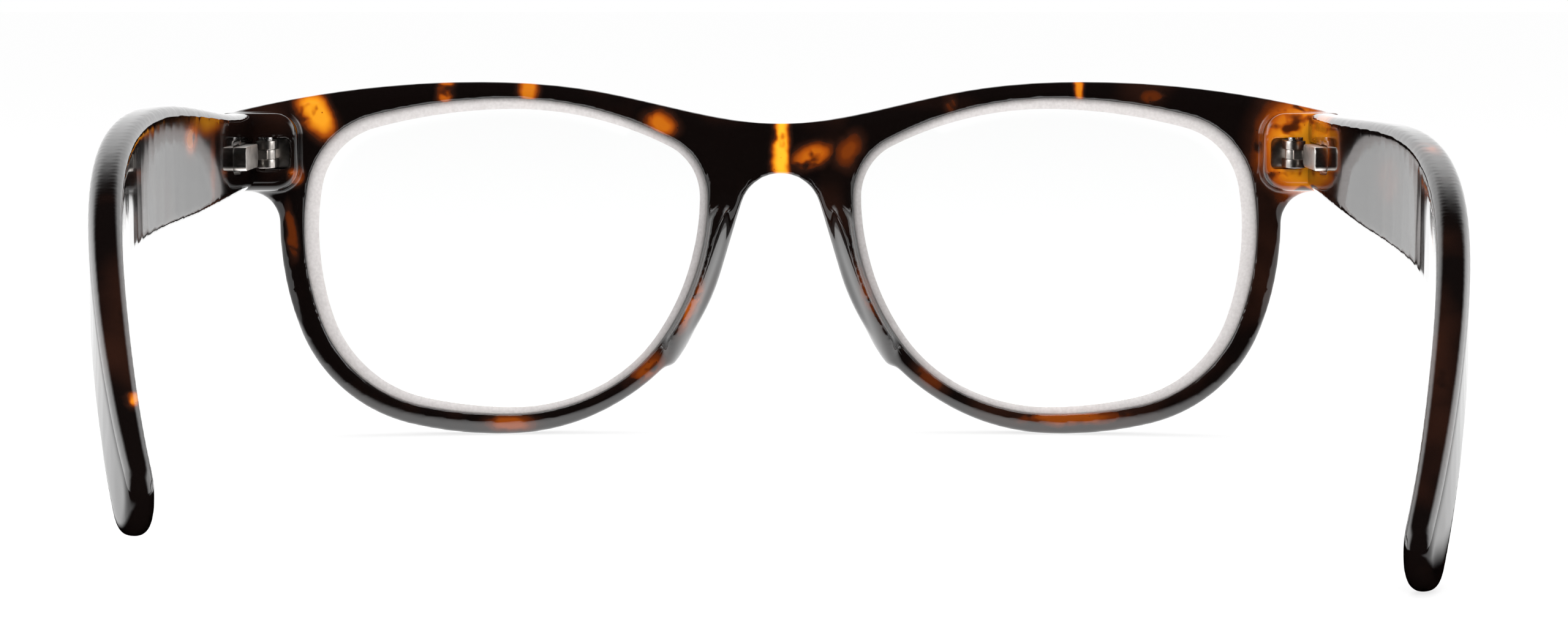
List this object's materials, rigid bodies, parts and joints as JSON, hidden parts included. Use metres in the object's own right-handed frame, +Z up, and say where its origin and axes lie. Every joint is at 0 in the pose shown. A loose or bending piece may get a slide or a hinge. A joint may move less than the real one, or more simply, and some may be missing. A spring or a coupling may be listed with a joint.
{
  "type": "reading glasses",
  "caption": "Full-rim acetate reading glasses in dark tortoise, with sprung temple hinges that fold in and flex outwards.",
  "frame": {"origin": "on the table under the middle of the glasses' box, which the rims and the right temple tip stand on", "axes": "+X to the wearer's right, +Y forward, the way the wearer looks, +Z up"},
  "size_m": [0.145, 0.1391, 0.0455],
  "materials": {
    "front_acetate": "polished dark tortoise acetate",
    "temple_acetate": "polished dark tortoise acetate",
    "nose_pad_acetate": "polished tortoise acetate",
    "lens": "clear, coated",
    "hinge_metal": "nickel-plated",
    "screw_steel": "polished",
    "spring_steel": "drawn wire",
    "core_wire": "drawn nickel silver"
  },
  "bodies": {
    "front": {"front_frame": "front_acetate", "nose_pad_right": "nose_pad_acetate", "nose_pad_left": "nose_pad_acetate", "lens_right": "lens", "lens_left": "lens", "hinge_front_right": "hinge_metal", "hinge_front_left": "hinge_metal", "hinge_screw_right": "screw_steel", "hinge_screw_left": "screw_steel"},
    "link_right": {"hinge_link_right": "hinge_metal", "spring_stop_right": "spring_steel", "hinge_spring_right": "spring_steel"},
    "temple_right": {"temple_right": "temple_acetate", "hinge_housing_right": "hinge_metal", "core_wire_right": "core_wire"},
    "link_left": {"hinge_link_left": "hinge_metal", "spring_stop_left": "spring_steel", "hinge_spring_left": "spring_steel"},
    "temple_left": {"temple_left": "temple_acetate", "hinge_housing_left": "hinge_metal", "core_wire_left": "core_wire"}
  },
  "joints": [
    {"name": "fold_right", "type": "hinge", "parent": "front", "child": "link_right", "pos_m": [0.0647, 0.05477, 0.0366], "axis": [0, 0, 1], "range_deg": [-82, 0]},
    {"name": "spring_right", "type": "slide", "parent": "link_right", "child": "temple_right", "axis": [0, -1, 0], "range_m": [0, 0.0011], "stiffness_N_per_m": 2500, "springref_m": -0.002, "deforming": ["hinge_spring_right"]},
    {"name": "fold_left", "type": "hinge", "parent": "front", "child": "link_left", "pos_m": [-0.0647, 0.05477, 0.0366], "axis": [0, 0, 1], "range_deg": [0, 89.5]},
    {"name": "spring_left", "type": "slide", "parent": "link_left", "child": "temple_left", "axis": [0, -1, 0], "range_m": [0, 0.0011], "stiffness_N_per_m": 2500, "springref_m": -0.002, "deforming": ["hinge_spring_left"]}
  ]
}
